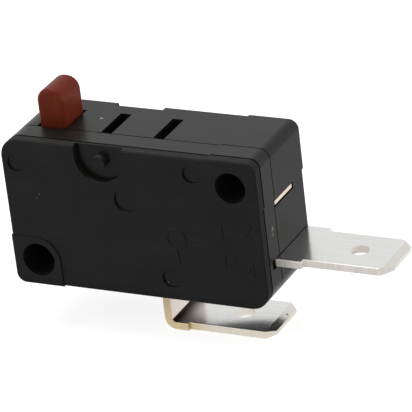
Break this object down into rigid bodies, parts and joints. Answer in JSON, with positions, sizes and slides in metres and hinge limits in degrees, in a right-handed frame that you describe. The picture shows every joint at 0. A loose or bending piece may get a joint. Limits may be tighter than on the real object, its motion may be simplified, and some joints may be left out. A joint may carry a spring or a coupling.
{
  "type": "micro switch",
  "caption": "Snap-action micro switch: black moulded body with two cross holes, red top plunger, a flat push-on tab at one end and a bent push-on tab below.",
  "frame": {"origin": "on the axis of the lower mounting hole, at the middle of the body's depth", "axes": "+X along the body towards the end tab, +Y from the cover to the back, +Z towards the plunger"},
  "size_m": [0.0394, 0.0104, 0.0245],
  "materials": {
    "black_plastic": "fine satin moulded thermoplastic",
    "red_plastic": "slightly glossy brownish red moulded thermoplastic",
    "tinned_brass": "tin-plated brass strip, bright and faintly streaked",
    "bare_brass": "sheared brass end",
    "lever_steel": "plain sheet",
    "arm_bronze": "rolled spring bronze",
    "spring_steel": "drawn wire",
    "contact_silver": "silver alloy"
  },
  "bodies": {
    "housing": {"case": "black_plastic", "cover": "black_plastic", "common_terminal": "tinned_brass", "normally_open_terminal": "tinned_brass", "normally_closed_plate": "bare_brass", "normally_open_contact": "contact_silver", "normally_closed_contact": "contact_silver", "tension_spring": "spring_steel"},
    "plunger": {"plunger": "red_plastic"},
    "lever": {"actuating_lever": "lever_steel"},
    "arm": {"contact_arm": "arm_bronze", "moving_contact": "contact_silver"}
  },
  "joints": [
    {"name": "plunger_slide", "type": "slide", "parent": "housing", "child": "plunger", "axis": [0, 0, -1], "range_m": [0, 0.0016], "stiffness_N_per_m": 400, "springref_m": -0.002},
    {"name": "lever_pivot", "type": "hinge", "parent": "housing", "child": "lever", "pos_m": [0.0118, 0, 0.0021], "axis": [0, -1, 0], "range_deg": [0, 9.25], "deforming": ["tension_spring"]},
    {"name": "arm_pivot", "type": "hinge", "parent": "housing", "child": "arm", "pos_m": [0.0126, 0, 0.00569], "axis": [0, 1, 0], "range_deg": [0, 8.1]}
  ],
  "couplings": [
    {"joint": "lever_pivot", "follows": "plunger_slide", "rad_per_m": 100},
    {"joint": "arm_pivot", "follows": "plunger_slide", "rad_per_m": 87.5}
  ]
}
